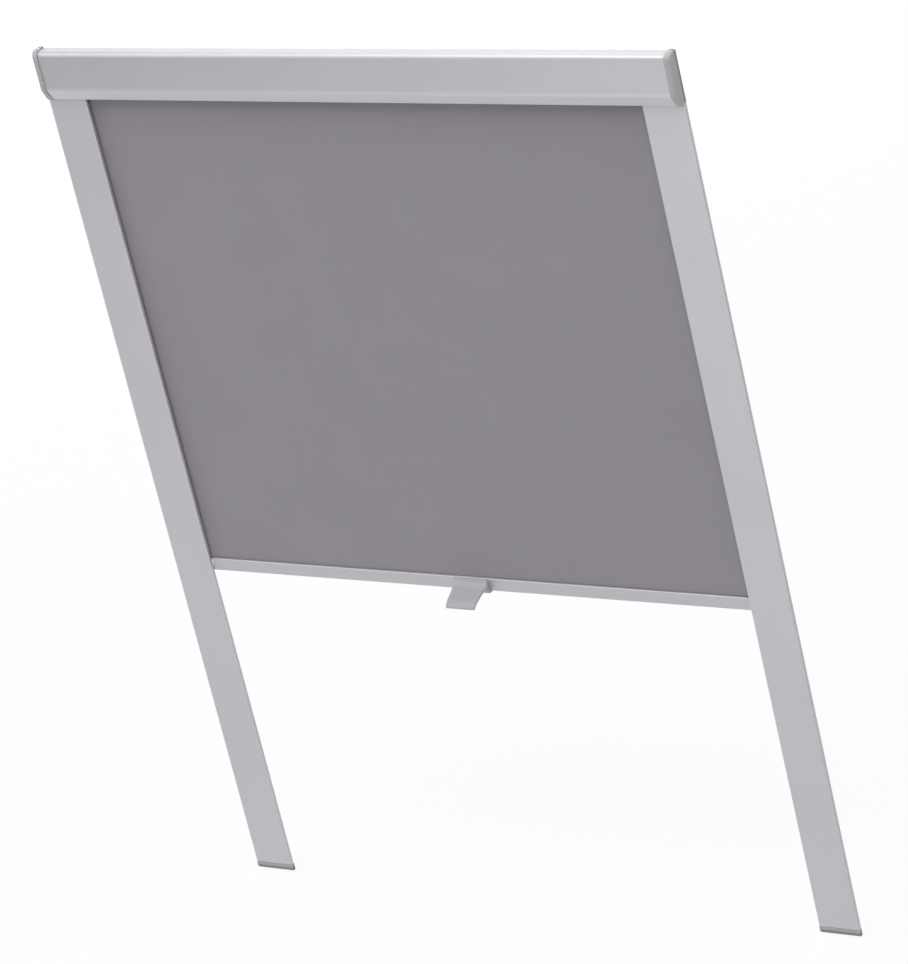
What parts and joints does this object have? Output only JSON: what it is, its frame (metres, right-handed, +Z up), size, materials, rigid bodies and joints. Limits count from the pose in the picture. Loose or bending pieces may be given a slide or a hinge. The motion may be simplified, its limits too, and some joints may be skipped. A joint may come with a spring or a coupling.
{
  "type": "skylight window blind",
  "caption": "Flat cassette roller blind for a roof window: fabric runs in two side rails, pulled by a bottom bar with a tab.",
  "frame": {"origin": "middle of the head flange's back face, which bears on the window sash", "axes": "+Z up along the sash, +X to the right seen from the room, -Y towards the room; the rails' backs lie in the plane Y = 0"},
  "size_m": [0.613, 0.0535, 0.8053],
  "materials": {
    "head_cover": "satin anodised silver grey",
    "head_back": "mill finish",
    "rail": "satin anodised silver grey",
    "bar": "satin anodised silver grey",
    "cap": "fine moulded texture, grey",
    "tab": "fine moulded texture, light grey",
    "nylon": "natural white nylon",
    "bracket": "zinc plated",
    "steel": "bright zinc",
    "spring": "oiled spring steel",
    "fabric": "matt coated blackout fabric, grey",
    "pile": "grey pile strip"
  },
  "bodies": {
    "frame": {"cassette_cover": "head_cover", "cassette_back": "head_back", "head_light_seal": "pile", "roller_bush": "nylon", "spring_shaft": "steel", "spring_anchor": "nylon", "end_cap_left": "cap", "end_cap_right": "cap", "bracket_left": "bracket", "bracket_right": "bracket", "bracket_screw_left_top": "steel", "bracket_screw_left_bottom": "steel", "bracket_screw_right_top": "steel", "bracket_screw_right_bottom": "steel", "rail_base_left": "rail", "rail_base_right": "rail", "rail_cover_left": "rail", "rail_cover_right": "rail", "pile_seal_left": "pile", "pile_seal_right": "pile", "rail_foot_left": "cap", "rail_foot_right": "cap"},
    "roller": {"roller_tube": "steel", "roller_spline": "nylon", "fabric_roll": "fabric", "spring_plug": "nylon", "idle_plug": "nylon", "idle_pin": "steel", "torsion_spring": "spring"},
    "bar": {"bottom_bar": "bar", "bar_spline": "nylon", "fabric_panel": "fabric", "glide_left": "nylon", "glide_right": "nylon", "brake_spring_left": "spring", "brake_spring_right": "spring", "pull_handle": "tab"}
  },
  "joints": [
    {"name": "bar_slide", "type": "slide", "parent": "frame", "child": "bar", "axis": [0, 0, 1], "range_m": [-0.299, 0.437], "deforming": ["fabric_panel"]},
    {"name": "roller_spin", "type": "hinge", "parent": "frame", "child": "roller", "pos_m": [0, 0.0119, -0.0209], "axis": [1, 0, 0], "range_deg": [-2290, 1570], "deforming": ["torsion_spring"]}
  ],
  "couplings": [
    {"joint": "roller_spin", "follows": "bar_slide", "rad_per_m": -90.909}
  ]
}
